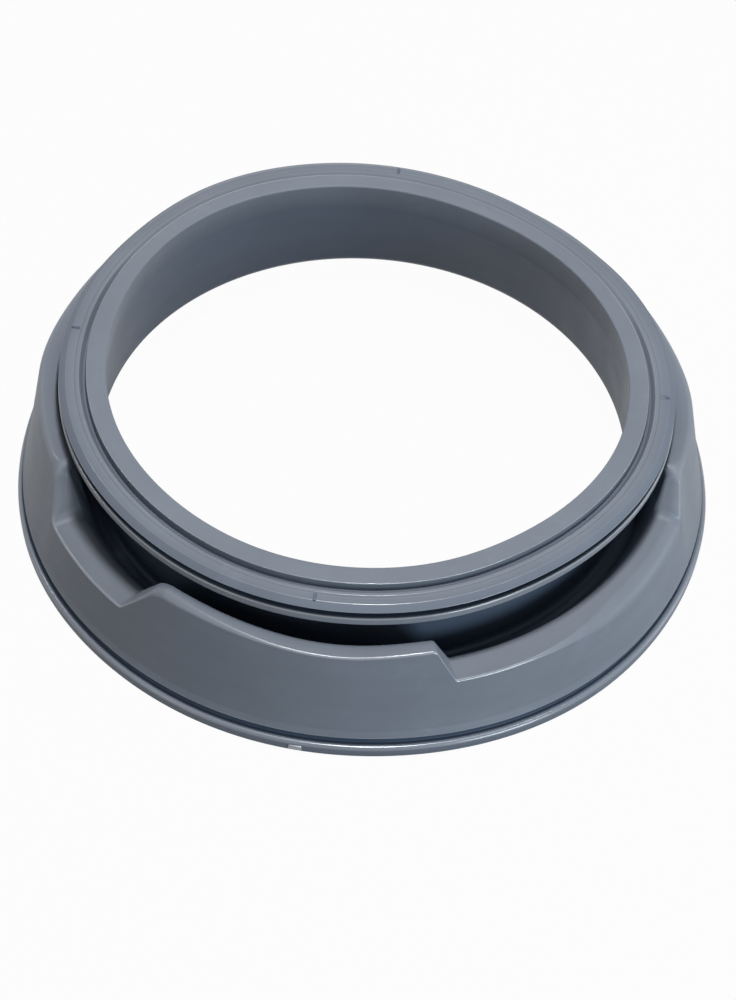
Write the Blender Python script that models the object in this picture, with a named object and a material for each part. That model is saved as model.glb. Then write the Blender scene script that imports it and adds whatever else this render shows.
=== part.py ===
# Door gasket of a front-loading washing machine: one moulded rubber ring with a folded wall.
# It lies on its tub side with the door side up. Metres, +Z up, origin at the centre of the base.
#
# Going through the section: the clamped rim on the tub, the tapering outer wall, the shoulder,
# the fold down behind it, the neck that lines the mouth, and the door ring with its flanges.
# At the front (-Y) the shoulder drops to two shelves with a raised hood between them, so the
# section changes with the angle and the body is a loft through closed sections.

import cmath
import math

import bmesh
import bpy
import numpy as np
from mathutils import Matrix

# Radial sizes, counted outward from the mouth
mouth_radius = 0.1360
ring_width = 0.0540
wall = 0.0030

# Rim on the tub: a bead, the clamp band's groove over it and the tub lip's groove under it
rim_width = 0.0145
bead_height = 0.0070
bead_round = 0.0015
clamp_groove_height = 0.0026
clamp_groove_depth = 0.0046
lip_groove_width = 0.0036
lip_groove_depth = 0.0040
rim_round = 0.0010

# Outer wall and shoulder
foot_setback = 0.0030
shoulder_height = 0.0646
shoulder_crest = 0.0041
crest_reach = 0.0040
shoulder_round = 0.0036
crest_round = 0.0030

# Fold and neck
fold_height = 0.0180
fold_width = 0.0071
fold_round = 0.0034
leg_lean = 0.0103
neck_flare = 0.0072
bend_round = 0.0008

# Hood and recesses along the front, angles in degrees from +X
hood_centre = 265.05
hood_angle = 48.1
hood_left_drop = 0.0022
hood_low_drop = 0.0067
hood_right_drop = 0.0046
hood_low_share = 0.66
left_recess_angle = 31.0
left_recess_drop = 0.0262
left_ramp_angle = 6.2
right_recess_angle = 59.9
right_recess_drop = 0.0230
right_ramp_angle = 3.2
end_ramp_angle = 3.8
shelf_inset = 0.0016
shelf_round = 0.0050
edge_round = 0.0014
ramp_round = 0.0026

# Door ring, from the mouth outward and from its underside up
ring_clearance = 0.0049
lower_flange_thickness = 0.0051
slot_height = 0.0040
lip_thickness = 0.0024
band_rise = 0.0020
band_width = 0.0106
channel_width = 0.0029
channel_depth = 0.0052
channel_lean = 0.0003
channel_floor = 0.0010
slot_web = 0.0035
slot_depth = 0.0076
lip_slope_width = 0.0033
lip_slope_drop = 0.0016
ring_round = 0.0009
root_height = 0.0040

# Moulded marks: index ribs on the door ring and the nib on the bead
index_count = 4
index_angle = 0.9
index_setback = 0.0017
index_length = 0.0044
index_breadth = 0.0016
index_rise = 0.0004
nib_angle = 269.0
nib_length = 0.0042
nib_height = 0.0024
nib_reach = 0.0008
mark_root = 0.0010

# Loft stations
plain_step = 5.8
ramp_arc_points = 4
visible_arc_points = 4
hidden_arc_points = 3

rubber_colour = (0.165, 0.190, 0.228, 1.0)
rubber_roughness = 0.52

# Places that follow from the sizes
base_radius = mouth_radius + ring_width
rim_inner = base_radius - rim_width
groove_floor = base_radius - clamp_groove_depth
rim_top = bead_height + clamp_groove_height
foot_radius = base_radius - foot_setback
foot_height = rim_top + rim_round
fold_level = fold_height + wall / 2
neck_foot = mouth_radius + neck_flare + wall / 2
leg_foot = neck_foot + fold_width + wall
crest_inner = leg_foot + leg_lean
crest_outer = crest_inner + shoulder_crest
crest_level = shoulder_height - wall / 2
ring_bottom = shoulder_height + ring_clearance
slot_bottom = ring_bottom + lower_flange_thickness
slot_top = slot_bottom + slot_height
lip_top = slot_top + lip_thickness
ring_top = lip_top + band_rise
band_outer = mouth_radius + band_width
channel_outer = band_outer + channel_width
slot_floor = channel_outer + slot_web
flange_radius = slot_floor + slot_depth
lip_edge = flange_radius - lip_slope_width
neck_top = ring_bottom - root_height
hood_start = hood_centre - hood_angle / 2
hood_end = hood_centre + hood_angle / 2


def rounded_line(corners, rounds, arc_points):
    # A line with its corners turned into arcs. Points are complex numbers, such as
    # radius + height * 1j. An arc takes at most 0.48 of a leg, so two arcs on one leg stay apart.
    line = [corners[0]]
    for before, corner, after, radius in zip(corners, corners[1:], corners[2:], rounds):
        along = (corner - before) / abs(corner - before)
        onward = (after - corner) / abs(after - corner)
        turn = cmath.phase(onward / along)
        half = math.tan(abs(turn) / 2)
        tangent = min(radius * half, 0.48 * abs(corner - before), 0.48 * abs(after - corner))
        start = corner - along * tangent
        centre = start + along * 1j * math.copysign(tangent / half, turn)
        for step in range(arc_points):
            line.append(centre + (start - centre) * cmath.exp(1j * turn * step / (arc_points - 1)))
    line.append(corners[-1])
    return line


def set_off(corners, distance):
    # The same corners moved to the right of the line's run, with mitred bends.
    runs = [(after - before) / abs(after - before) for before, after in zip(corners, corners[1:])]
    moved = []
    for corner, arriving, leaving in zip(corners, runs[:1] + runs, runs + runs[-1:]):
        mitre = (arriving + leaving) / (1 + (arriving * leaving.conjugate()).real)
        moved.append(corner - 1j * distance * mitre)
    return moved


def ramp(top_angle, top_drop, shelf_angle, shelf_drop):
    # The way down to a shelf, laid out flat as length along the wall against drop.
    run = math.radians(abs(shelf_angle - top_angle)) * crest_outer
    fall = complex(0, shelf_drop - top_drop)
    line = rounded_line([-run + 0j, 0j, run + fall, 2 * run + fall],
                        [wall / 2 + ramp_round] * 2, ramp_arc_points)
    turn = (shelf_angle - top_angle) / run
    return [(top_angle + point.real * turn, top_drop + point.imag) for point in line[1:-1]]


def eased(share):
    # Goes from 0 to 1 with a gentle start and end.
    share = min(1, max(0, share))
    return share * share * (3 - 2 * share)


def plain(start, end, drop):
    # Evenly spaced sections between two ramps.
    count = max(1, math.ceil((end - start) / plain_step))
    return [(angle, drop) for angle in np.linspace(start, end, count + 1)[1:-1]]


def hood(start, end):
    # The hood sags between its ends, lowest a little beyond its middle.
    top = []
    for angle, drop in plain(start, end, hood_left_drop):
        share = (angle - start) / (end - start)
        sag = (hood_low_drop - hood_left_drop) * eased(share / hood_low_share)
        rise = (hood_low_drop - hood_right_drop) * eased((share - hood_low_share) / (1 - hood_low_share))
        top.append((angle, drop + sag - rise))
    return top


def ring_stations():
    # The angle of every section and how far its shoulder is lowered there. The sections stand
    # close together on the ramps and wider apart where the ring is plain.
    first = hood_start - left_recess_angle
    last = hood_end + right_recess_angle
    down = ramp(first, 0, first + end_ramp_angle, left_recess_drop)
    onto_hood = ramp(hood_start, hood_left_drop, hood_start - left_ramp_angle, left_recess_drop)[::-1]
    off_hood = ramp(hood_end, hood_right_drop, hood_end + right_ramp_angle, right_recess_drop)
    up = ramp(last, 0, last - end_ramp_angle, right_recess_drop)[::-1]
    return (down + plain(down[-1][0], onto_hood[0][0], left_recess_drop)
            + onto_hood + hood(onto_hood[-1][0], off_hood[0][0])
            + off_hood + plain(off_hood[-1][0], up[0][0], right_recess_drop)
            + up + plain(up[-1][0], down[0][0] + 360, 0))


def blend(plain_size, lowered_size, drop, full_drop):
    # A size that goes from its plain value to its lowered one while the shoulder drops.
    return plain_size + (lowered_size - plain_size) * min(1, drop / full_drop)


def wall_corners(drop):
    # Corners of the wall's middle line. Lowering moves the shoulder down the outer wall's cone.
    foot = complex(foot_radius - wall / 2, foot_height)
    crest = complex(crest_outer, crest_level)
    mouth = complex(mouth_radius + wall / 2, ring_top)
    leg = complex(leg_foot, fold_level)
    neck = complex(neck_foot, fold_level)
    outer = crest + (foot - crest) * drop / (crest.imag - foot.imag)
    reach = blend(crest_reach, 0, drop, hood_left_drop) + blend(0, shelf_inset, drop, right_recess_drop)
    inner = complex(crest_inner - reach, crest_level - drop)
    top = neck + (mouth - neck) * (neck_top - fold_level) / (ring_top - fold_level)
    return [foot, outer, inner, leg, neck, top]


def visible_skin(stations):
    # The wall's face on the outside and in the fold, with crisp outer edges.
    rows = []
    for angle, drop in stations:
        outer_round = blend(shoulder_round, edge_round, drop, hood_right_drop)
        inner_round = blend(crest_round, shelf_round, drop, right_recess_drop)
        line = rounded_line(set_off(wall_corners(drop), wall / 2),
                            [outer_round, inner_round, fold_round, fold_round], visible_arc_points)
        turn = cmath.exp(1j * math.radians(angle))
        rows.append([(point.real * turn.real, point.real * turn.imag, point.imag) for point in line])
    return np.array(rows)


def hidden_skin(stations):
    # The wall's inner face, half a thickness off the middle surface along the surface's normal, so
    # that the wall keeps its thickness on the ramps too.
    rounds = [wall / 2 + bend_round] * 2 + [wall / 2 + fold_round] * 2
    lines = np.array([rounded_line(wall_corners(drop), rounds, hidden_arc_points)
                      for angle, drop in stations])
    radius, height = lines.real, lines.imag
    turns = np.radians([angle for angle, drop in stations])
    wrapped = np.concatenate([[turns[-1] - math.tau], turns, [turns[0] + math.tau]])

    def slope_round(values):
        return np.gradient(np.concatenate([values[-1:], values, values[:1]]), wrapped, axis=0)[1:-1]

    along_r, along_z = np.gradient(radius, axis=1), np.gradient(height, axis=1)
    round_r, round_z = slope_round(radius), slope_round(height)
    normal = np.stack([-radius * along_z, round_r * along_z - round_z * along_r, radius * along_r])
    normal *= wall / 2 / np.linalg.norm(normal, axis=0)
    radius = radius + normal[0]
    place = turns[:, None] + normal[1] / radius
    return np.stack([radius * np.cos(place), radius * np.sin(place), height + normal[2]], axis=2)


def turned(outline, stations):
    # The same outline at every angle.
    turns = np.radians([angle for angle, drop in stations])[:, None]
    radius, height = np.array(outline).T
    level = np.broadcast_to(height, (len(stations), len(height)))
    return np.stack([radius * np.cos(turns), radius * np.sin(turns), level], axis=2)


def rim_outline():
    # From the rim's inner top edge down, along the base with the tub lip's groove, and up the bead
    # to the clamp band's groove.
    lip_middle = (rim_inner + groove_floor) / 2
    lip_inner, lip_outer = lip_middle - lip_groove_width / 2, lip_middle + lip_groove_width / 2
    bead_turn = bead_round * (1 - math.sqrt(0.5))
    return [
        (rim_inner + rim_round, rim_top - rim_round),
        (rim_inner, rim_top - 2 * rim_round),
        (rim_inner, rim_round),
        (rim_inner + rim_round, 0),
        (lip_inner, 0),
        (lip_inner, lip_groove_depth),
        (lip_outer, lip_groove_depth),
        (lip_outer, 0),
        (base_radius - rim_round, 0),
        (base_radius, rim_round),
        (base_radius, bead_height - bead_round),
        (base_radius - bead_turn, bead_height - bead_turn),
        (base_radius - bead_round, bead_height),
        (groove_floor, bead_height),
        (groove_floor, rim_top),
    ]


def door_outline():
    # From the neck's root out along the lower flange, round the slot, over the lip, and inward
    # across the channel to the raised flat band at the mouth.
    return [
        (mouth_radius + wall + root_height, ring_bottom),
        (flange_radius - ring_round, ring_bottom),
        (flange_radius, ring_bottom + ring_round),
        (flange_radius, slot_bottom - ring_round),
        (flange_radius - ring_round, slot_bottom),
        (slot_floor, slot_bottom),
        (slot_floor, slot_top),
        (flange_radius, slot_top),
        (flange_radius, lip_top - lip_slope_drop),
        (lip_edge, lip_top),
        (channel_outer, lip_top),
        (band_outer + channel_lean + channel_floor, ring_top - channel_depth),
        (band_outer + channel_lean, ring_top - channel_depth),
        (band_outer, ring_top),
        (mouth_radius + ring_round, ring_top),
        (mouth_radius, ring_top - ring_round),
    ]


def loft_body(mesh):
    stations = ring_stations()
    points = np.concatenate([
        turned(rim_outline(), stations),
        visible_skin(stations),
        turned(door_outline(), stations),
        hidden_skin(stations)[:, ::-1],
    ], axis=1)
    rows, columns = points.shape[:2]
    body = bmesh.new()
    grid = [[body.verts.new(point) for point in row] for row in points]
    for row in range(rows):
        here, beyond = grid[row], grid[(row + 1) % rows]
        for column in range(columns):
            after = (column + 1) % columns
            body.faces.new((here[column], beyond[column], beyond[after], here[after]))
    body.to_mesh(mesh)
    body.free()


def add_block(name, size, radius, height, angle, into):
    # A block with its first side along the radius, sunk into the body that it is joined to.
    mesh = bpy.data.meshes.new(name)
    form = bmesh.new()
    bmesh.ops.create_cube(form, size=1.0, matrix=Matrix.Diagonal((*size, 1.0)))
    form.to_mesh(mesh)
    form.free()
    block = bpy.data.objects.new(name, mesh)
    turn = math.radians(angle)
    block.location = (radius * math.cos(turn), radius * math.sin(turn), height)
    block.rotation_euler = (0, 0, turn)
    block.hide_render = True
    block.display_type = "WIRE"
    into.objects.link(block)


def add_marks(into):
    for index in range(index_count):
        add_block("index_rib_%d" % (index + 1), (index_length, index_breadth, mark_root + index_rise),
                  lip_edge - index_setback, lip_top + (index_rise - mark_root) / 2,
                  index_angle + 360 * index / index_count, into)
    add_block("edge_nib", (mark_root + nib_reach, nib_length, nib_height),
              base_radius + (nib_reach - mark_root) / 2, bead_height / 2, nib_angle, into)


def rubber():
    material = bpy.data.materials.new("grey_rubber")
    material.use_nodes = True
    shader = material.node_tree.nodes["Principled BSDF"]
    shader.inputs["Base Color"].default_value = rubber_colour
    shader.inputs["Roughness"].default_value = rubber_roughness
    shader.inputs["Metallic"].default_value = 0.0
    material.diffuse_color = rubber_colour
    return material


def main():
    for leftover in list(bpy.data.objects):
        bpy.data.objects.remove(leftover, do_unlink=True)
    parts = bpy.data.collections.new("washing_machine_gasket")
    marks = bpy.data.collections.new("gasket_marks")
    for group in (parts, marks):
        bpy.context.scene.collection.children.link(group)

    mesh = bpy.data.meshes.new("door_gasket")
    loft_body(mesh)
    mesh.materials.append(rubber())
    mesh.shade_smooth()
    mesh.set_sharp_from_angle(angle=math.radians(40))
    gasket = bpy.data.objects.new("door_gasket", mesh)
    parts.objects.link(gasket)

    add_marks(marks)
    joined = gasket.modifiers.new("moulded marks", "BOOLEAN")
    joined.operation = "UNION"
    joined.operand_type = "COLLECTION"
    joined.collection = marks
    joined.solver = "EXACT"


main()
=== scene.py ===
import math

import bmesh
import bpy
from mathutils import Matrix, Vector


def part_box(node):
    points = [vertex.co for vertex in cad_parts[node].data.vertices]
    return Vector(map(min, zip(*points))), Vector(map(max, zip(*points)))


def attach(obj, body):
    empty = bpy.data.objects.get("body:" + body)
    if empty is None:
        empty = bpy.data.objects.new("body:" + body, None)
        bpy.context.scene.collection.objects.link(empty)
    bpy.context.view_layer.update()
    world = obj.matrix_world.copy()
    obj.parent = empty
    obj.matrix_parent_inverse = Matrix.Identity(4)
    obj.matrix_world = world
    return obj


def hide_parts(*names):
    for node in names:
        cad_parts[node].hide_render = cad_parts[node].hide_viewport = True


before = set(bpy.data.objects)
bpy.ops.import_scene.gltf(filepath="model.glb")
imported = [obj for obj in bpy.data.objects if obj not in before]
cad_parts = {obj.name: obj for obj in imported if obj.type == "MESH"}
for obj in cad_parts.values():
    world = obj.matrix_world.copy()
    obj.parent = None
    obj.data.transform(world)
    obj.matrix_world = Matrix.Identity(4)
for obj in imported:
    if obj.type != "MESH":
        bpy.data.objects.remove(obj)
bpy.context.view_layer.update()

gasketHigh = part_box("door_gasket")[1]


# shader maths

class Value:
    # one output of a node, used like a number
    def __init__(self, sheet, socket):
        self.sheet, self.socket = sheet, socket

    def maths(self, operation, first, second=0.0):
        return self.sheet.node("Math", {"operation": operation}, {0: first, 1: second})

    def __add__(self, other):
        return self.maths("ADD", self, other)

    def __sub__(self, other):
        return self.maths("SUBTRACT", self, other)

    def __mul__(self, other):
        return self.maths("MULTIPLY", self, other)

    def __truediv__(self, other):
        return self.maths("DIVIDE", self, other)

    def __rsub__(self, other):
        return self.maths("SUBTRACT", other, self)

    __radd__ = __add__
    __rmul__ = __mul__


class Sheet:
    # the node sheet of one material or world
    def __init__(self, owner):
        owner.use_nodes = True
        self.tree = owner.node_tree
        self.tree.nodes.clear()

    def node(self, kind, settings=None, sockets=None, out=0):
        made = self.tree.nodes.new("ShaderNode" + kind)
        for name, setting in (settings or {}).items():
            setattr(made, name, setting)
        for name, value in (sockets or {}).items():
            if isinstance(value, Value):
                self.tree.links.new(value.socket, made.inputs[name])
            else:
                made.inputs[name].default_value = value
        return Value(self, made.outputs[out]) if made.outputs else None

    def ranged(self, value, before, after=(0, 1)):
        # the value taken from one range to another, and held inside it
        limits = {1: before[0], 2: before[1], 3: after[0], 4: after[1]}
        return self.node("MapRange", None, {0: value, **limits})


# the gasket's section, in metres

gasketForm = {
    "baseRadius": gasketHigh.y,
    "ringTop": gasketHigh.z,
    "ringWidth": 0.0540,
    "wall": 0.0030,
    # rim on the tub
    "rimWidth": 0.0145,
    "beadHeight": 0.0070,
    "clampGroove": {"depth": 0.0046, "height": 0.0026},
    "lipGroove": {"width": 0.0036, "depth": 0.0040},
    "footSetback": 0.0030,
    "footFlare": {"height": 0.0040, "inset": 0.0006},      # the wall's foot turns out a little
    # shoulder, fold and neck
    "shoulderHeight": 0.0646,
    "shoulderCrest": 0.0041,
    "crestReach": 0.0040,
    "shelfInset": 0.0016,
    "foldHeight": 0.0180,
    "foldWidth": 0.0071,
    "legLean": 0.0103,
    "neckFlare": 0.0072,
    "rootHeight": 0.0040,
    # door ring
    "ringClearance": 0.0044,
    "lowerFlange": {"thickness": 0.0056, "reach": 0.0005},
    "slot": {"depth": 0.0076, "height": 0.0040, "web": 0.0029, "undercut": 0.0006, "shade": 0.0006},
    "lip": {"slopeWidth": 0.0036, "slopeDrop": 0.0020},
    "fineGroove": {"setback": 0.0016, "width": 0.0012, "depth": 0.0003, "squeezedDepth": 0.00006},
    "channel": {"width": 0.0037, "depth": 0.0046, "lean": 0.0004, "floor": 0.0014,
                "squeezedDepth": 0.0023, "squeezedRound": 0.0016},
    "band": {"width": 0.0104, "rise": 0.0020},
}

# rounds of the section's corners, in metres
roundForm = {
    "hair": 0.0003,
    "fine": 0.0006,
    "edge": 0.0010,
    "bead": 0.0019,
    "flange": 0.0009,
    "flare": 0.0060,
    "shoulder": 0.0036,
    "crest": 0.0030,
    "crisp": 0.0013,       # outer edge of the hood and the recesses
    "drawn": 0.0052,       # the hood's soft left end
    "rolled": 0.0100,      # where the recesses run out into the wall
    "shelf": 0.0050,
    "fold": 0.0034,
    "segments": 5,
    "room": 0.48,          # share of the shorter side that a corner's round may take
    "justPast": 0.00001,   # the step past a round that finds the point after it
}

# the lowered front: angles in degrees from +X, drops in metres below the full shoulder
frontForm = {
    "hoodCentre": 265.05,
    "hoodAngle": 48.1,
    "hoodDrops": {"left": 0.0022, "low": 0.0067, "right": 0.0046, "lowShare": 0.66},
    "leftShelf": {"angle": 31.0, "drop": 0.0262, "ramp": 6.2},
    "rightShelf": {"angle": 59.9, "drop": 0.0230, "ramp": 3.2},
    # how far back the ring starts to be squeezed and is squeezed in full, as a share of the radius
    "squeeze": {"from": 0.15, "to": 0.65},
    "endRamp": 3.8,
    # down to these shares of the end ramps their colour is painted lighter, as painted light, and their
    # outer edge is rolled, which fades over this many degrees past their top
    "endPaintedLift": {"paintedShading": 1.35, "share": 0.8, "fade": 2},
    "endRoll": {"share": 0.6, "fade": 3},
    "drawnAngles": (1, 7, 22),      # from the hood's start: its edge at its softest, full, crisp
    "creaseAngles": (305, 313, 325),      # the right recess's outer edge: crisp, full, rolled
    "rampRounds": {"end": (0.0120, 0.0060), "left": (0.0110, 0.0030), "right": (0.0026, 0.0022)},
    "rampSegments": 9,
    "rampMiddle": 3,       # points on the straight stretch between a ramp's rounds
    "plainStep": 1.5,
    "backSamples": 8,
    "digits": 6,           # stations whose sizes agree to this share one section
}

# painted shading of each corner: below 1 the colour is painted darker towards the painted shade colour
# (painted shade in the fold, slot, sleeve and under the ring), above 1 it is painted lighter (painted light
# on the shelves, the lower flange's face, the nib); and the round below which a sharp outer edge counts
# fully rubbed, painted paler as a highlight as well as made glossier
paintedLightAndShade = {"deep": 0.0, "sunk": 0.3, "shaded": 0.5, "sleeve": 0.36, "bead": 0.66, "lip": 0.78,
            "crest": 0.74, "shelf": 1.16, "free": 1.0,
            "paintedLit": 1.5, "rubbedAndHighlitRound": 0.0012}


def roundedLine(places, rounds, segments, closed):
    # a wire through the places, each corner rounded by a vertex bevel, read back in order
    # as points with the number of the corner they belong to
    wire = bmesh.new()
    cornerOf = wire.verts.layers.int.new("corner")
    verts = [wire.verts.new((place.x, 0, place.y)) for place in places]
    links = zip(verts, verts[1:] + verts[:1] if closed else verts[1:])
    for here, onward in list(links):
        wire.edges.new((here, onward))
    cuts = []
    for index, size in enumerate(rounds):
        verts[index][cornerOf] = index
        arriving = places[index] - places[index - 1]
        leaving = places[(index + 1) % len(places)] - places[index]
        room = roundForm["room"] * min(arriving.length, leaving.length)
        cuts.append(min(size * math.tan(arriving.angle(leaving) / 2), room) if size else 0)
    for vert, cut in zip(verts, cuts):
        if cut:
            bmesh.ops.bevel(wire, geom=[vert], offset=cut, offset_type="OFFSET", affect="VERTICES",
                            segments=segments, profile=0.5, clamp_overlap=False, material=-1)
    back = places[-1] if closed else places[0]
    first = places[0] + (back - places[0]).normalized() * cuts[0] if closed else places[0]
    after = places[0] + (places[1] - places[0]).normalized() * (cuts[0] + roundForm["justPast"])
    here = min(wire.verts, key=lambda v: (v.co - Vector((first.x, 0, first.y))).length)
    onward = min((e.other_vert(here) for e in here.link_edges),
                 key=lambda v: (v.co - Vector((after.x, 0, after.y))).length)
    line, seen = [(Vector((here.co.x, here.co.z)), here[cornerOf])], {here}
    while onward is not None and onward not in seen:
        seen.add(onward)
        line.append((Vector((onward.co.x, onward.co.z)), onward[cornerOf]))
        neighbours = [edge.other_vert(onward) for edge in onward.link_edges]
        onward = next((vert for vert in neighbours if vert not in seen), None)
    wire.free()
    return line


def offsetLine(corners, distance):
    # the same corners moved to the right of the line's run, mitred
    runs = [(after - before).normalized() for before, after in zip(corners, corners[1:])]
    moved = []
    for corner, arriving, leaving in zip(corners, runs[:1] + runs, runs + runs[-1:]):
        mitre = (arriving + leaving) / (1 + arriving.dot(leaving))
        moved.append(corner + distance * Vector((mitre.y, -mitre.x)))
    return moved


def blended(plainSize, changedSize, share):
    return plainSize + (changedSize - plainSize) * min(1, share)


def wallLine(drop):
    # middle line of the wall: foot, flare, shoulder's outer and inner edge, the fold's feet, neck's top
    g, drops = gasketForm, frontForm["hoodDrops"]
    mouth, half = g["baseRadius"] - g["ringWidth"], g["wall"] / 2
    foldLevel, crestLevel = g["foldHeight"] + half, g["shoulderHeight"] - half
    neckFoot = mouth + g["neckFlare"] + half
    legFoot = neckFoot + g["foldWidth"] + g["wall"]
    crestInner = legFoot + g["legLean"]
    foot = Vector((g["baseRadius"] - g["footSetback"] - half,
                   g["beadHeight"] + g["clampGroove"]["height"] + roundForm["edge"]))
    crest = Vector((crestInner + g["shoulderCrest"], crestLevel))
    fall = (foot - crest) / (crest.y - foot.y)
    outer = crest + fall * drop
    flare = foot - fall * g["footFlare"]["height"] - Vector((g["footFlare"]["inset"], 0))
    reach = (blended(g["crestReach"], 0, drop / drops["left"])
             + blended(0, g["shelfInset"], drop / frontForm["rightShelf"]["drop"]))
    inner = Vector((crestInner - reach, crestLevel - drop))
    neck = Vector((neckFoot, foldLevel))
    neckTop = g["shoulderHeight"] + g["ringClearance"] - g["rootHeight"]
    mouthEdge = Vector((mouth + half, g["ringTop"]))
    top = neck.lerp(mouthEdge, (neckTop - foldLevel) / (g["ringTop"] - foldLevel))
    return [foot, flare, outer, inner, Vector((legFoot, foldLevel)), neck, top]


def rimCorners():
    g, r, o = gasketForm, roundForm, paintedLightAndShade
    base = g["baseRadius"]
    rimInner, rimTop = base - g["rimWidth"], g["beadHeight"] + g["clampGroove"]["height"]
    grooveFloor = base - g["clampGroove"]["depth"]
    lipMiddle, lipHalf = (rimInner + grooveFloor) / 2, g["lipGroove"]["width"] / 2
    # each corner: place, round, and painted shading (painted shade in the grooves and under the rim)
    return [
        (rimInner, rimTop - r["fine"], r["edge"], o["shaded"]),
        (rimInner, 0, r["edge"], o["sleeve"]),
        (lipMiddle - lipHalf, 0, r["hair"], o["sleeve"]),
        (lipMiddle - lipHalf, g["lipGroove"]["depth"], r["edge"], o["sunk"]),
        (lipMiddle + lipHalf, g["lipGroove"]["depth"], r["edge"], o["sunk"]),
        (lipMiddle + lipHalf, 0, r["hair"], o["sleeve"]),
        (base, 0, r["edge"], o["sleeve"]),
        (base, g["beadHeight"], r["bead"], o["bead"]),
        (grooveFloor, g["beadHeight"] - r["hair"], r["fine"], o["deep"]),
        (grooveFloor, rimTop, r["hair"], o["deep"]),
    ]


def ringCorners(squeeze):
    # squeezed together, the channel and the fine groove are only a soft step
    g, r, o = gasketForm, roundForm, paintedLightAndShade
    top, mouth = g["ringTop"], g["baseRadius"] - g["ringWidth"]
    slot, lip, groove, channel, band = g["slot"], g["lip"], g["fineGroove"], g["channel"], g["band"]
    underside = g["shoulderHeight"] + g["ringClearance"]
    slotBottom = underside + g["lowerFlange"]["thickness"]
    slotTop = slotBottom + slot["height"]
    lipTop = top - band["rise"]
    bandOut = mouth + band["width"]
    channelOut = bandOut + channel["width"]
    slotFloor = channelOut + slot["web"]
    flange = slotFloor + slot["depth"]
    lower = flange + g["lowerFlange"]["reach"]
    grooveIn = channelOut + groove["setback"]
    soft = squeeze * channel["squeezedRound"]
    channelIn = bandOut + channel["lean"]
    channelFloor = top - blended(channel["depth"], channel["squeezedDepth"], squeeze)
    channelPaintedShading = blended(o["shaded"], o["crest"], squeeze)
    grooveFloor = lipTop - blended(groove["depth"], groove["squeezedDepth"], squeeze)
    # each corner: place, round, and painted shading (painted shade in the slot and channel)
    return [
        (mouth + g["wall"] + g["rootHeight"], underside, r["bead"], o["sunk"]),
        # the lower flange's face painted lighter: painted light
        (lower, underside, r["bead"], o["paintedLit"]),
        (lower, slotBottom, r["flange"], o["paintedLit"]),
        # corners inside the slot that only carry painted shade
        (lower - r["flange"] - slot["shade"], slotBottom, 0, o["deep"]),
        (slotFloor, slotBottom - slot["undercut"], r["edge"], o["deep"]),
        (slotFloor, slotTop, r["edge"], o["deep"]),
        (flange - slot["shade"], slotTop, 0, o["deep"]),
        (flange, slotTop, r["hair"], o["shaded"]),
        (flange, lipTop - lip["slopeDrop"], r["hair"], o["bead"]),
        (flange - lip["slopeWidth"], lipTop, r["edge"], o["lip"]),
        (grooveIn + groove["width"], lipTop, r["hair"], o["free"]),
        (grooveIn + groove["width"] / 2, grooveFloor, r["fine"], o["lip"]),
        (grooveIn, lipTop, r["fine"], o["free"]),
        (channelOut, lipTop, r["fine"] + soft, o["free"]),
        (channelIn + channel["floor"], channelFloor, r["edge"] + soft, o["crest"]),
        (channelIn, channelFloor, r["fine"] + soft, channelPaintedShading),
        (bandOut, top, r["hair"] + soft, o["free"]),
        (mouth, top, r["edge"], o["free"]),
    ]


def section(drop, backDrop, outerRound, paintedLift, squeeze):
    # the closed section at one angle: rim, outer skin, door ring and back skin,
    # as points with their painted shading (painted shade below 1, painted light above) and how rubbed each
    # is, a rubbed edge being painted paler as a highlight
    r, o, half = roundForm, paintedLightAndShade, gasketForm["wall"] / 2
    shelfShare = drop / frontForm["rightShelf"]["drop"]
    # painted shading of the crest: painted shade on the hood's crest under the ring, painted light on the
    # shelves
    crestRound = blended(r["crest"], r["shelf"], shelfShare)
    crestPaintedShading = blended(o["crest"], o["shelf"], shelfShare) * paintedLift
    # round and painted shading of each corner of the outer and the back skin
    skinLooks = [
        (r["edge"], o["free"]), (r["flare"], o["free"]), (outerRound, o["free"] * paintedLift),
        (crestRound, crestPaintedShading), (r["fold"], o["sunk"]), (r["fold"], o["deep"]), (r["edge"], o["sunk"]),
    ]
    backLooks = [
        (r["fine"], o["shaded"]), (r["flare"], o["shaded"]), (half + r["fine"], o["shaded"]),
        (half + r["fine"], o["sunk"]), (half + r["fold"], o["shaded"]), (half + r["fold"], o["sleeve"]),
        (r["hair"], o["sleeve"]),
    ]
    skin = [(*place, *look) for place, look in zip(offsetLine(wallLine(drop), half), skinLooks)]
    back = [(*place, *look) for place, look in zip(offsetLine(wallLine(backDrop), -half), backLooks)]
    corners = rimCorners() + skin + ringCorners(squeeze)
    mouthEdge = len(corners) - 1          # no rubbed paleness (painted highlight) and no coat on the mouth's edge
    corners += back[::-1]
    places = [Vector(corner[:2]) for corner in corners]
    line = roundedLine(places, [corner[2] for corner in corners], r["segments"], closed=True)
    points = []
    for index, (place, corner) in enumerate(line):
        onArc = line[index - 1][1] == corner == line[(index + 1) % len(line)][1]
        arriving = places[corner] - places[corner - 1]
        leaving = places[(corner + 1) % len(places)] - places[corner]
        outward = arriving.x * leaving.y - arriving.y * leaving.x > 0
        turn = min(1, arriving.angle(leaving) / (math.pi / 2))
        rubbedAndHighlit = turn * min(1, o["rubbedAndHighlitRound"] / corners[corner][2]) if onArc and outward else 0
        rubbedAndHighlit = 0 if corner == mouthEdge else rubbedAndHighlit
        points.append((place, corners[corner][3], rubbedAndHighlit))
    return points


# how far the shoulder is lowered at each angle

def shoulderRadius():
    return wallLine(0)[2].x


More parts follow.
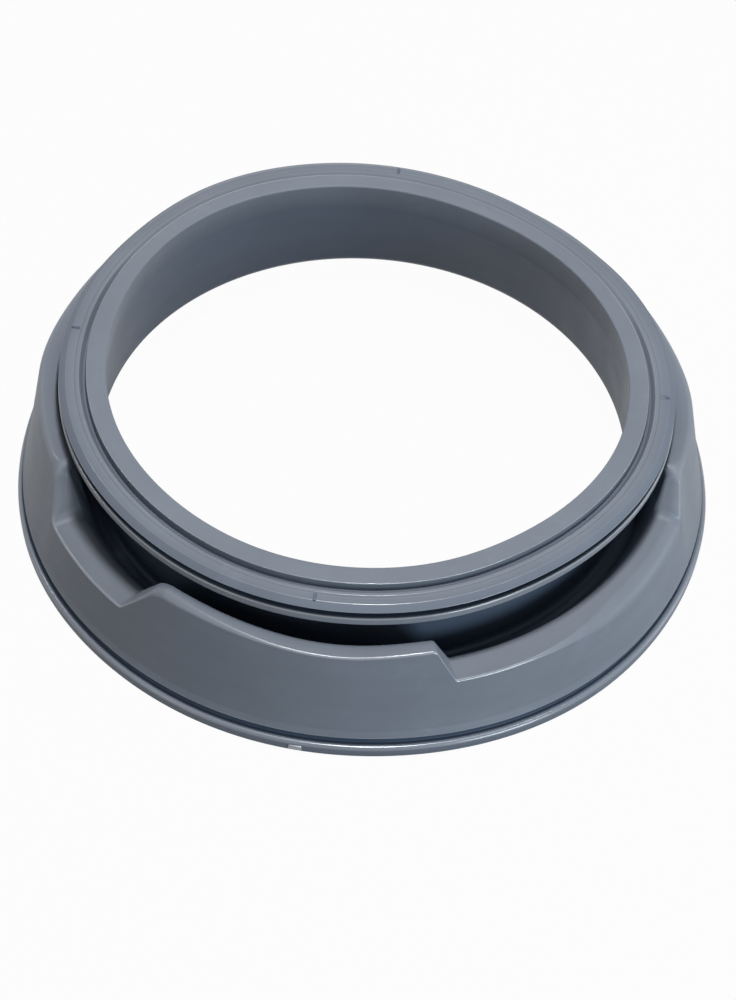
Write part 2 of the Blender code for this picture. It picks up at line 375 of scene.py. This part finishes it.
def ramp(topAngle, topDrop, shelfAngle, shelfDrop, rounds):
    # the way down to a shelf, drawn flat as length along the wall against drop
    run = math.radians(abs(shelfAngle - topAngle)) * shoulderRadius()
    corners = [Vector((-run, 0)), Vector((0, 0)),
               Vector((run, shelfDrop - topDrop)), Vector((2 * run, shelfDrop - topDrop))]
    line = roundedLine(corners, [0, *rounds, 0], frontForm["rampSegments"], closed=False)[1:-1]
    line = [place for place, corner in line]
    middle, added = len(line) // 2, frontForm["rampMiddle"]
    above, below = line[middle - 1], line[middle]
    line[middle:middle] = [above.lerp(below, step / (added + 1)) for step in range(1, added + 1)]
    return [(topAngle + place.x * (shelfAngle - topAngle) / run, topDrop + place.y) for place in line]


def eased(share):
    share = min(1, max(0, share))
    return share * share * (3 - 2 * share)


def frontAngles():
    # where the lowered front starts, where the hood starts and ends, where the front ends
    f = frontForm
    hoodStart, hoodEnd = f["hoodCentre"] - f["hoodAngle"] / 2, f["hoodCentre"] + f["hoodAngle"] / 2
    return hoodStart - f["leftShelf"]["angle"], hoodStart, hoodEnd, hoodEnd + f["rightShelf"]["angle"]


def frontStations():
    # angle and drop of every station, close together on the ramps and wider apart elsewhere
    f = frontForm
    left, right, drops, rounds = f["leftShelf"], f["rightShelf"], f["hoodDrops"], f["rampRounds"]
    first, hoodStart, hoodEnd, last = frontAngles()
    ramps = [
        ramp(first, 0, first + f["endRamp"], left["drop"], rounds["end"]),
        ramp(hoodStart, drops["left"], hoodStart - left["ramp"], left["drop"], rounds["left"])[::-1],
        ramp(hoodEnd, drops["right"], hoodEnd + right["ramp"], right["drop"], rounds["right"]),
        ramp(last, 0, last - f["endRamp"], right["drop"], rounds["end"])[::-1],
    ]
    stations = []
    for index, here in enumerate(ramps):
        start, end = here[-1], ramps[(index + 1) % len(ramps)][0]
        span = (end[0] - start[0]) % 360
        count = math.ceil(span / f["plainStep"])
        stations += here
        for step in range(1, count):
            share, drop = step / count, start[1]
            if index == 1:       # the hood, after the second ramp, sags between its ends
                drop += (drops["low"] - drops["left"]) * eased(share / drops["lowShare"])
                rise = eased((share - drops["lowShare"]) / (1 - drops["lowShare"]))
                drop -= (drops["low"] - drops["right"]) * rise
            stations.append((start[0] + span * share, drop))
    return stations


def stopsAt(stops, angle, otherwise):
    # the size between two stops, or the other one outside them all
    for (before, size), (after, nextSize) in zip(stops, stops[1:]):
        if before <= angle <= after:
            return size + (nextSize - size) * (angle - before) / (after - before)
    return otherwise


def paintedLiftAt(angle):
    # painted light: the end ramps are painted lighter, as light as the wall beside them
    endRamp, paintedLift = frontForm["endRamp"], frontForm["endPaintedLift"]
    first, _, _, last = frontAngles()
    stops = [
        (first - paintedLift["fade"], 1), (first, paintedLift["paintedShading"]),
        (first + endRamp * paintedLift["share"], paintedLift["paintedShading"]), (first + endRamp, 1),
        (last - endRamp, 1), (last - endRamp * paintedLift["share"], paintedLift["paintedShading"]),
        (last, paintedLift["paintedShading"]), (last + paintedLift["fade"], 1),
    ]
    return stopsAt(stops, angle, 1)


def squeezeAt(angle):
    # the back of the door ring is squeezed together
    s = frontForm["squeeze"]
    return eased((math.sin(math.radians(angle)) - s["from"]) / (s["to"] - s["from"]))


def outerRoundAt(angle):
    # round of the shoulder's outer edge: crisp along the front, full elsewhere, drawn out soft
    # where the hood starts on the left, and rolled where the recesses run out
    r, f = roundForm, frontForm
    first, hoodStart, _, last = frontAngles()
    roll, leftRamp = f["endRoll"], f["leftShelf"]["ramp"]
    softest, hoodFull, hoodCrisp = (hoodStart + past for past in f["drawnAngles"])
    creaseCrisp, creaseFull, creaseRolled = f["creaseAngles"]
    stops = [
        (first - roll["fade"], r["shoulder"]), (first, r["rolled"]),
        (first + f["endRamp"] * roll["share"], r["rolled"]), (first + f["endRamp"], r["crisp"]),
        (hoodStart - leftRamp, r["crisp"]), (hoodStart - leftRamp / 2, r["shoulder"]),
        (softest, r["drawn"]), (hoodFull, r["shoulder"]), (hoodCrisp, r["crisp"]),
        (creaseCrisp, r["crisp"]), (creaseFull, r["shoulder"]), (creaseRolled, r["rolled"]),
        (last, r["rolled"]), (last + roll["fade"], r["shoulder"]),
    ]
    return stopsAt(stops, angle, r["shoulder"])


def dropAt(stations, angle):
    # drop between the stations
    angle = stations[0][0] + (angle - stations[0][0]) % 360
    before = max((s for s in stations if s[0] <= angle), key=lambda s: s[0])
    after = min((s for s in stations if s[0] > angle), key=lambda s: s[0],
                default=(stations[0][0] + 360, stations[0][1]))
    return before[1] + (after[1] - before[1]) * (angle - before[0]) / (after[0] - before[0])


def backDropAt(stations, angle):
    # the back skin follows a wall's thickness under the outer one, on the ramps too
    wall, count = gasketForm["wall"], frontForm["backSamples"]
    deepest = 0
    for sample in range(-count, count + 1):
        along = wall * sample / count
        turned = angle + math.degrees(along / shoulderRadius())
        deepest = max(deepest, dropAt(stations, turned) + math.sqrt(wall * wall - along * along))
    return deepest - wall


# the soft ring doesn't lie quite round: bulges and dents as angle, spread in degrees, and metres outward
slackForm = {
    "rim": [(178, 27, -0.0037), (316, 28, 0.0014), (12, 14, -0.0014)],
    "shoulder": [(183, 13, 0.0027), (6, 12, 0.0024), (36, 18, -0.0027)],
    "mouth": [(62, 32, -0.0044), (136, 28, 0.0040), (310, 17, -0.0019), (345, 14, 0.0009)],
    "lip": [(50, 18, -0.0027), (152, 17, -0.0042)],      # metres upward, at the lip's edge
    "lipSpan": 0.0270,      # distance out from the mouth at which the lip's pull is full
    "rimSpan": 0.0180,      # the same for the rim's, out from the fold
    "ripple": 0.0002,
    "ripples": 7,
}


def pullAt(pulls, angle):
    total = 0
    for centre, spread, amount in pulls:
        away = (angle - centre + 180) % 360 - 180
        total += amount * math.exp(-(away / spread) ** 2)
    return total


def slack(radius, angle, height):
    # moves a point with the part of the ring that it belongs to; the fold stays where it is
    g, s = gasketForm, slackForm
    mouth, fold = g["baseRadius"] - g["ringWidth"], g["foldHeight"]
    ringUnder = g["shoulderHeight"] + g["wall"]
    foldMiddle = mouth + g["neckFlare"] + g["wall"] + g["foldWidth"] / 2
    ripple = s["ripple"] * math.cos(math.radians(s["ripples"] * angle))
    if height > ringUnder or radius < foldMiddle:
        share = eased((height - fold) / (ringUnder - fold))
        out = share * (pullAt(s["mouth"], angle) + ripple)
        up = 0
        if height > ringUnder:
            up = pullAt(s["lip"], angle) * eased((radius - mouth) / s["lipSpan"])
        return radius + out, height + up
    high = max(0, height / g["shoulderHeight"])
    out = (pullAt(s["rim"], angle) + ripple) * (1 - high) * eased((radius - foldMiddle) / s["rimSpan"])
    out += pullAt(s["shoulder"], angle) * eased((height - fold) / (g["shoulderHeight"] - fold))
    return radius + out, height


def makeGasket():
    stations = frontStations()
    plain = section(0, 0, roundForm["shoulder"], 1, 0)
    ring = bmesh.new()
    order = ring.verts.layers.int.new("order")
    # per point: painted shading, and how rubbed, a rubbed edge being painted paler as a highlight
    paintedShadingLayer = ring.verts.layers.float.new("paintedShading")
    rubbedAndHighlitLayer = ring.verts.layers.float.new("rubbedAndHighlit")
    verts = [ring.verts.new((place.x, 0, place.y)) for place, *looks in plain]
    for index, vert in enumerate(verts):
        vert[order] = index
    edges = [ring.edges.new(pair) for pair in zip(verts, verts[1:] + verts[:1])]
    bmesh.ops.spin(ring, geom=verts + edges, cent=(0, 0, 0), axis=(0, 0, 1), angle=math.tau,
                   steps=len(stations), use_merge=True, use_duplicate=False)
    print("ring spun:", len(ring.verts), "points,", len(plain), "by", len(stations))

    sections, known = {}, {}
    step = math.tau / len(stations)
    for vert in ring.verts:
        station = round(math.atan2(vert.co.y, vert.co.x) % math.tau / step) % len(stations)
        if station not in sections:
            angle, drop = stations[station]
            sizes = drop, backDropAt(stations, angle), outerRoundAt(angle), paintedLiftAt(angle), squeezeAt(angle)
            sizes = tuple(round(size, frontForm["digits"]) for size in sizes)
            if sizes not in known:
                known[sizes] = section(*sizes)
            sections[station] = angle, known[sizes]
        angle, line = sections[station]
        place, vert[paintedShadingLayer], vert[rubbedAndHighlitLayer] = line[vert[order]]
        radius, height = slack(place.x, angle, place.y)
        turn = math.radians(angle)
        vert.co = (radius * math.cos(turn), radius * math.sin(turn), height)
    bmesh.ops.recalc_face_normals(ring, faces=ring.faces)
    mesh = bpy.data.meshes.new("gasket")
    ring.to_mesh(mesh)
    ring.free()
    mesh.shade_smooth()
    gasket = bpy.data.objects.new("gasket", mesh)
    bpy.context.scene.collection.objects.link(gasket)
    flat = gasket.modifiers.new("even shading", "WEIGHTED_NORMAL")
    flat.mode, flat.weight, flat.keep_sharp = "FACE_AREA", 50, False
    return gasket


# moulded marks

markForm = {
    "ribAngles": (1.2, 91.3, 180.3, 268.4),
    "ribSetback": 0.0017,                          # in from the lip's edge
    "rib": Vector((0.0044, 0.0016, 0.0020)),       # along the radius, across, high
    "ribRise": 0.0006,
    "ribLooks": (0.15, 0.2),          # painted shading, low so the ribs are painted dark as if shaded; how rubbed, painted paler as a highlight
    "nib": Vector((0.0030, 0.0066, 0.0028)),
    "nibAngle": 267.9,
    "nibReach": 0.0008,
    # painted shading above 1 and rubbed: the nib is painted lighter, with a painted highlight
    "nibLooks": (1.3, 0.8),
    "bevel": 0.0003,
    "bevelSegments": 3,
}


def makeMark(name, size, radius, height, angle, looks):
    mark = bmesh.new()
    # painted shading and rubbed paleness (painted highlight) of the whole mark
    paintedShadingLayer = mark.verts.layers.float.new("paintedShading")
    rubbedAndHighlitLayer = mark.verts.layers.float.new("rubbedAndHighlit")
    bmesh.ops.create_cube(mark, size=1, matrix=Matrix.Diagonal((*size, 1)))
    bmesh.ops.bevel(mark, geom=mark.edges[:], offset=markForm["bevel"], offset_type="OFFSET",
                    affect="EDGES", segments=markForm["bevelSegments"], profile=0.5,
                    clamp_overlap=True, material=-1)
    radius, height = slack(radius, angle, height)
    place = Matrix.Rotation(math.radians(angle), 4, "Z") @ Matrix.Translation((radius, 0, height))
    bmesh.ops.transform(mark, matrix=place, verts=mark.verts)
    for vert in mark.verts:
        vert[paintedShadingLayer], vert[rubbedAndHighlitLayer] = looks
    mesh = bpy.data.meshes.new(name)
    mark.to_mesh(mesh)
    mark.free()
    mesh.shade_smooth()
    made = bpy.data.objects.new(name, mesh)
    bpy.context.scene.collection.objects.link(made)
    return made


def makeMarks():
    g, m = gasketForm, markForm
    ringSizes = g["band"]["width"] + g["channel"]["width"] + g["slot"]["web"] + g["slot"]["depth"]
    lipEdge = g["baseRadius"] - g["ringWidth"] + ringSizes - g["lip"]["slopeWidth"]
    ribHeight = g["ringTop"] - g["band"]["rise"] + m["ribRise"] - m["rib"].z / 2
    marks = [makeMark("index_rib_%d" % (index + 1), m["rib"], lipEdge - m["ribSetback"], ribHeight,
                      angle, m["ribLooks"]) for index, angle in enumerate(m["ribAngles"])]
    nibRadius, nibHeight = g["baseRadius"] + m["nibReach"] - m["nib"].x / 2, g["beadHeight"] / 2
    marks.append(makeMark("edge_nib", m["nib"], nibRadius, nibHeight, m["nibAngle"], m["nibLooks"]))
    return marks


# rubber

rubberLook = {
    "colour": (0.168, 0.191, 0.229, 1),
    "paintedShadeColour": (0.055, 0.080, 0.122, 1),      # painted shade colour, mixed in where a corner's painted shading is low: in the fold and the slots
    "rubbedAndHighlit": 0.15,                  # how much paler a rubbed edge is painted: a painted highlight along sharp outer edges
    "noiseSpan": (0.3, 0.7),         # the part of a noise's range that is used
    "cloud": (0.92, 1.08),
    "cloudNoise": {"Scale": 14, "Detail": 5, "Roughness": 0.6},
    "streak": (0.96, 1.04),
    "streakNoise": {"Scale": 1, "Detail": 3},
    "streakStretch": (1.6, 120),     # how fast they change around the ring, and across it
    "scuff": 0.10,
    "scuffSpan": (0.60, 0.72),
    "scuffNoise": {"Scale": 33, "Detail": 7, "Roughness": 0.65, "Distortion": 0.6},
    "roughness": (0.42, 0.56),
    "hazeNoise": {"Scale": 60, "Detail": 6, "Roughness": 0.7},
    "hazeShare": 0.6,
    "rubbedRoughness": 0.14,
    "mirror": 0.28,
    "rubbedCoat": 1.0,
    "coatRoughness": 0.20,
    "coatIor": 1.9,
    "grainNoise": {"Scale": 1500, "Detail": 2},
    "grainDepth": 0.00003,
    "grainStrength": 0.35,
}


def makeRubber():
    r = rubberLook
    material = bpy.data.materials.new("grey_rubber")
    sheet = Sheet(material)
    node, ranged = sheet.node, sheet.ranged
    place = node("TexCoord", out="Object")
    x, y, z = (node("SeparateXYZ", None, {0: place}, out=axis) for axis in "XYZ")
    radius = node("Math", {"operation": "SQRT"}, {0: x * x + y * y})
    paintedShadingFac = node("Attribute", {"attribute_name": "paintedShading"}, out="Fac")
    rubbedAndHighlit = node("Attribute", {"attribute_name": "rubbedAndHighlit"}, out="Fac")
    # long soft streaks round the ring, as the rubber flowed in the mould
    around, across = r["streakStretch"]
    flow = {"X": x / radius * around, "Y": y / radius * around, "Z": radius * across}
    streak = node("TexNoise", {"noise_dimensions": "4D"},
                  {"Vector": node("CombineXYZ", None, flow), "W": z * across, **r["streakNoise"]})
    cloud = node("TexNoise", None, {"Vector": place, **r["cloudNoise"]})
    haze = node("TexNoise", None, {"Vector": place, **r["hazeNoise"]})
    scuffs = node("TexNoise", None, {"Vector": place, **r["scuffNoise"]})
    grain = node("TexNoise", None, {"Vector": place, **r["grainNoise"]})
    tone = ranged(cloud, r["noiseSpan"], r["cloud"]) * ranged(streak, r["noiseSpan"], r["streak"])
    # rubbed edges painted paler as a painted highlight; scuffs paler at random, as real wear
    paler = (rubbedAndHighlit * r["rubbedAndHighlit"] + 1.0) * (ranged(scuffs, r["scuffSpan"]) * r["scuff"] + 1.0)
    # painted shade and light: the colour runs from the painted shade colour at 0 through the rubber's
    # colour at 1, and lighter past it
    body = node("Mix", {"data_type": "RGBA", "clamp_factor": False},
                {0: paintedShadingFac, 6: r["paintedShadeColour"], 7: r["colour"]}, out=2)
    mottle = haze * r["hazeShare"] + cloud * (1 - r["hazeShare"])
    shader = node("BsdfPrincipled", None, {
        "Base Color": node("VectorMath", {"operation": "SCALE"}, {0: body, "Scale": tone * paler}),
        "Roughness": ranged(mottle, r["noiseSpan"], r["roughness"]) - rubbedAndHighlit * r["rubbedRoughness"],
        "Specular IOR Level": r["mirror"],
        "Coat Weight": rubbedAndHighlit * r["rubbedCoat"],
        "Coat Roughness": r["coatRoughness"],
        "Coat IOR": r["coatIor"],
        "Normal": node("Bump", None, {"Strength": r["grainStrength"], "Distance": r["grainDepth"],
                                      "Height": grain}),
    })
    node("OutputMaterial", None, {"Surface": shader})
    return material


# floor, light and camera

studioLook = {
    "floorSize": 6.0,
    "floorGap": 0.0003,
    "floorColour": (0.30, 0.30, 0.305, 1),
    "floorGlow": 0.97,      # how nearly white the camera sees it
    # what lights the ring; the camera sees white behind it
    "worldColour": (0.98, 0.99, 1.0, 1),
    "worldStrength": 0.12,
    # discs that face the middle of the base
    "lamps": {
        "overhead": {"place": (0.055, 0.0, 1.20), "size": 0.16, "power": 10.0},
        "right_front": {"place": (1.0, -1.0, 0.35), "size": 0.6, "power": 9.6, "colour": (0.79, 0.91, 1.0)},
        "right_low": {"place": (1.40, 0.20, 0.35), "size": 0.6, "power": 2.4, "colour": (0.92, 0.97, 1.0)},
        "left_front": {"place": (-1.0, -1.0, 0.80), "size": 0.6, "power": 1.2, "colour": (1.0, 0.97, 0.96)},
        "back": {"place": (-0.4, 1.45, 0.60), "size": 0.9, "power": 3.5},
        "left_edge": {"place": (-0.66, 0.30, 0.92), "size": 0.08, "power": 0.6},
        "right_edge": {"place": (0.48, 0.0, 1.10), "size": 0.08, "power": 0.6},
    },
}


def seenDirectly(sheet):
    # 1 where the camera, a mirror or a clear body looks at the surface
    rays = "Is Camera Ray", "Is Glossy Ray", "Is Transmission Ray"
    camera, mirror, clear = (sheet.node("LightPath", out=ray) for ray in rays)
    return sheet.node("Math", {"operation": "ADD", "use_clamp": True}, {0: camera + mirror, 1: clear})


def makeFloor():
    s = studioLook
    floor = bmesh.new()
    bmesh.ops.create_grid(floor, x_segments=1, y_segments=1, size=s["floorSize"] / 2,
                          matrix=Matrix.Translation((0, 0, -s["floorGap"])))
    mesh = bpy.data.meshes.new("floor")
    floor.to_mesh(mesh)
    floor.free()
    made = bpy.data.objects.new("floor", mesh)
    bpy.context.scene.collection.objects.link(made)
    material = bpy.data.materials.new("pale_floor")
    sheet = Sheet(material)
    matt = sheet.node("BsdfDiffuse", None, {"Color": s["floorColour"]})
    glow = sheet.node("Emission", None, {"Color": (1, 1, 1, 1), "Strength": 1})
    mix = sheet.node("MixShader", None, {0: seenDirectly(sheet) * s["floorGlow"], 1: matt, 2: glow})
    sheet.node("OutputMaterial", None, {"Surface": mix})
    mesh.materials.append(material)


def makeWorld():
    s = studioLook
    world = bpy.data.worlds.new("studio")
    bpy.context.scene.world = world
    sheet = Sheet(world)
    soft = sheet.node("Background", None, {"Color": s["worldColour"], "Strength": s["worldStrength"]})
    white = sheet.node("Background", None, {"Color": (1, 1, 1, 1), "Strength": 1})
    mix = sheet.node("MixShader", None, {0: seenDirectly(sheet), 1: soft, 2: white})
    sheet.node("OutputWorld", None, {"Surface": mix})


def makeLamp(name, place, size, power, colour=(1, 1, 1)):
    lamp = bpy.data.lights.new(name, "AREA")
    lamp.shape, lamp.size, lamp.energy, lamp.color = "DISK", size, power, colour
    made = bpy.data.objects.new(name, lamp)
    made.location = place
    made.rotation_euler = (-Vector(place)).to_track_quat("-Z", "Y").to_euler()
    bpy.context.scene.collection.objects.link(made)


cameraForm = {
    "place": (0.06492, -0.72427, 0.84317),
    "turn": (39.723, -2.535, 7.797),      # degrees
    "lens": 72.455,
}


def makeCamera():
    camera = bpy.data.cameras.new("camera")
    camera.lens = cameraForm["lens"]
    made = bpy.data.objects.new("camera", camera)
    made.location = cameraForm["place"]
    made.rotation_euler = [math.radians(angle) for angle in cameraForm["turn"]]
    bpy.context.scene.collection.objects.link(made)
    bpy.context.scene.camera = made


bpy.context.scene.view_settings.view_transform = "Standard"
gasket = makeGasket()
rubber = makeRubber()
for piece in [gasket] + makeMarks():
    piece.data.materials.append(rubber)
    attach(piece, "root")
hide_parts("door_gasket")
print("gasket and marks in place")

makeFloor()
makeWorld()
for name, lamp in studioLook["lamps"].items():
    makeLamp(name, **lamp)
makeCamera()
print("floor, light and camera in place")
